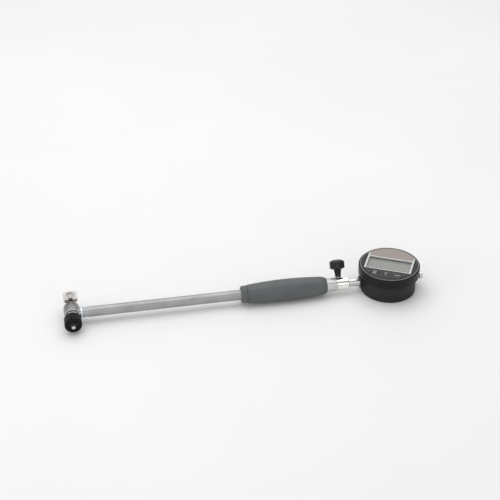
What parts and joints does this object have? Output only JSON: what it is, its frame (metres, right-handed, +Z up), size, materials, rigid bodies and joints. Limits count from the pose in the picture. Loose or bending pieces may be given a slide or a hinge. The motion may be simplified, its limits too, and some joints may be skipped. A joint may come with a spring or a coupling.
{
  "type": "dial bore gauge",
  "caption": "Bore gauge: measuring head with sprung contact, anvil and centring lobes, slim tube, grey grip and a round digital indicator clamped at the end.",
  "frame": {"origin": "where the measuring axis crosses the tube's axis, inside the measuring head", "axes": "+X along the tube from the head to the indicator, +Y along the measuring axis towards the sprung contact, +Z up, out of the display's face"},
  "size_m": [0.354, 0.06, 0.0339],
  "materials": {
    "bright_chrome": "bright hard chrome",
    "satin_steel": "satin ground steel",
    "matte_steel": "fine blasted steel",
    "tool_steel": "hardened and ground",
    "spring_steel": "drawn wire",
    "black_steel": "blackened steel",
    "carbide": "polished carbide",
    "bush_brass": "reamed",
    "grip_plastic": "fine matte",
    "knob_plastic": "moulded gloss",
    "case_plastic": "fine textured",
    "bezel_plastic": "satin moulded",
    "face_film": "printed film",
    "panel_plastic": "satin light grey",
    "clear_window": "polished clear",
    "lcd_glass": "grey reflective display glass",
    "board": "solder mask",
    "conductive_rubber": "layered",
    "low_friction_plastic": "natural"
  },
  "bodies": {
    "frame": {"measuring_head_body": "satin_steel", "crank_pivot_pin": "tool_steel", "plunger_bush": "bush_brass", "guide_screws": "satin_steel", "guide_spring": "spring_steel", "union_sleeve": "satin_steel", "lower_rod_bush": "bush_brass", "spring_seat_bush": "bush_brass", "upper_rod_bush": "bush_brass", "stem_tube": "satin_steel", "push_rod_spring": "spring_steel", "grip_sleeve": "grip_plastic", "neck_sleeve": "matte_steel", "clamp_collar": "bright_chrome"},
    "rod": {"push_rod": "tool_steel"},
    "crank": {"bell_crank": "tool_steel"},
    "plunger": {"contact_plunger": "tool_steel", "contact_tip": "carbide"},
    "guide": {"guide_yoke": "bright_chrome"},
    "anvil": {"anvil": "tool_steel", "anvil_tip": "carbide"},
    "washer": {"lock_washer": "bright_chrome"},
    "lock_nut": {"anvil_lock_nut": "black_steel"},
    "clamp_pad": {"clamp_pad": "bush_brass"},
    "clamp_knob": {"clamp_screw": "satin_steel", "clamp_knob": "knob_plastic"},
    "indicator": {"rear_case": "case_plastic", "back_cover": "case_plastic", "back_cover_screws": "satin_steel", "indicator_stem": "satin_steel", "upper_spindle_bush": "bush_brass", "guide_rail": "matte_steel", "reader_board": "board", "sensor_ribbon": "low_friction_plastic", "spindle_spring": "spring_steel", "swivel_washer": "low_friction_plastic", "swivel_retainer": "matte_steel", "swivel_screws": "satin_steel", "swivel_stop_pin": "tool_steel"},
    "spindle": {"spindle": "tool_steel", "contact_point": "tool_steel", "contact_ball": "carbide", "spindle_cap": "satin_steel", "scale_carrier": "matte_steel", "guide_pin": "tool_steel", "grid_scale": "board"},
    "display": {"display_housing": "bezel_plastic", "face_plate": "face_film", "display_surround": "panel_plastic", "lcd_window": "clear_window", "lcd_panel": "lcd_glass", "zebra_strips": "conductive_rubber", "circuit_board": "board", "dome_switches": "spring_steel", "battery_contacts": "spring_steel"},
    "left_key": {"left_key": "face_film"},
    "middle_key": {"middle_key": "face_film"},
    "right_key": {"right_key": "face_film"},
    "battery_drawer": {"battery_drawer": "bezel_plastic", "battery_cell": "bright_chrome"}
  },
  "joints": [
    {"name": "rod_slide", "type": "slide", "parent": "frame", "child": "rod", "axis": [1, 0, 0], "range_m": [0, 0.0015], "stiffness_N_per_m": 300, "springref_m": -0.004, "deforming": ["push_rod_spring"]},
    {"name": "plunger_slide", "type": "slide", "parent": "frame", "child": "plunger", "axis": [0, -1, 0], "range_m": [0, 0.0015]},
    {"name": "crank_turn", "type": "hinge", "parent": "frame", "child": "crank", "pos_m": [0.0045, 0.0045, 0], "axis": [0, 0, 1], "range_deg": [0, 19.2]},
    {"name": "guide_slide", "type": "slide", "parent": "frame", "child": "guide", "axis": [0, -1, 0], "range_m": [0, 0.0022], "stiffness_N_per_m": 600, "springref_m": -0.006, "deforming": ["guide_spring"]},
    {"name": "anvil_unscrew", "type": "slide", "parent": "frame", "child": "anvil", "axis": [0, -1, 0], "range_m": [0, 0.014]},
    {"name": "washer_slide", "type": "slide", "parent": "anvil", "child": "washer", "axis": [0, -1, 0], "range_m": [0, 0.0015]},
    {"name": "lock_nut_turn", "type": "hinge", "parent": "washer", "child": "lock_nut", "pos_m": [0, -0.0135, 0], "axis": [0, -1, 0], "range_deg": [0, 540.01]},
    {"name": "clamp_pad_slide", "type": "slide", "parent": "frame", "child": "clamp_pad", "axis": [0, 0.5, 0.866], "range_m": [0, 0.0007]},
    {"name": "clamp_knob_turn", "type": "hinge", "parent": "clamp_pad", "child": "clamp_knob", "pos_m": [0.2605, 0.00975, 0.01689], "axis": [0, 0.5, 0.866], "range_deg": [0, 360.01]},
    {"name": "indicator_draw", "type": "slide", "parent": "frame", "child": "indicator", "axis": [1, 0, 0], "range_m": [0, 0.03]},
    {"name": "spindle_slide", "type": "slide", "parent": "indicator", "child": "spindle", "axis": [1, 0, 0], "range_m": [0, 0.0015], "deforming": ["spindle_spring"]},
    {"name": "display_turn", "type": "hinge", "parent": "indicator", "child": "display", "pos_m": [0.311, 0, 0.0118], "axis": [0, 0, 1], "range_deg": [-171, 99]},
    {"name": "left_key_press", "type": "slide", "parent": "display", "child": "left_key", "axis": [0, 0, -1], "range_m": [0, 0.0004], "stiffness_N_per_m": 400, "springref_m": -0.0008},
    {"name": "middle_key_press", "type": "slide", "parent": "display", "child": "middle_key", "axis": [0, 0, -1], "range_m": [0, 0.0004], "stiffness_N_per_m": 400, "springref_m": -0.0008},
    {"name": "right_key_press", "type": "slide", "parent": "display", "child": "right_key", "axis": [0, 0, -1], "range_m": [0, 0.0004], "stiffness_N_per_m": 400, "springref_m": -0.0008},
    {"name": "battery_drawer_slide", "type": "slide", "parent": "display", "child": "battery_drawer", "axis": [0.454, 0.891, 0], "range_m": [0, 0.017]}
  ],
  "couplings": [
    {"joint": "plunger_slide", "follows": "rod_slide", "ratio": 1},
    {"joint": "crank_turn", "follows": "rod_slide", "rad_per_m": 222.22},
    {"joint": "spindle_slide", "follows": "rod_slide", "ratio": 1},
    {"joint": "lock_nut_turn", "follows": "washer_slide", "rad_per_m": 6283.2},
    {"joint": "clamp_knob_turn", "follows": "clamp_pad_slide", "rad_per_m": 8976}
  ]
}
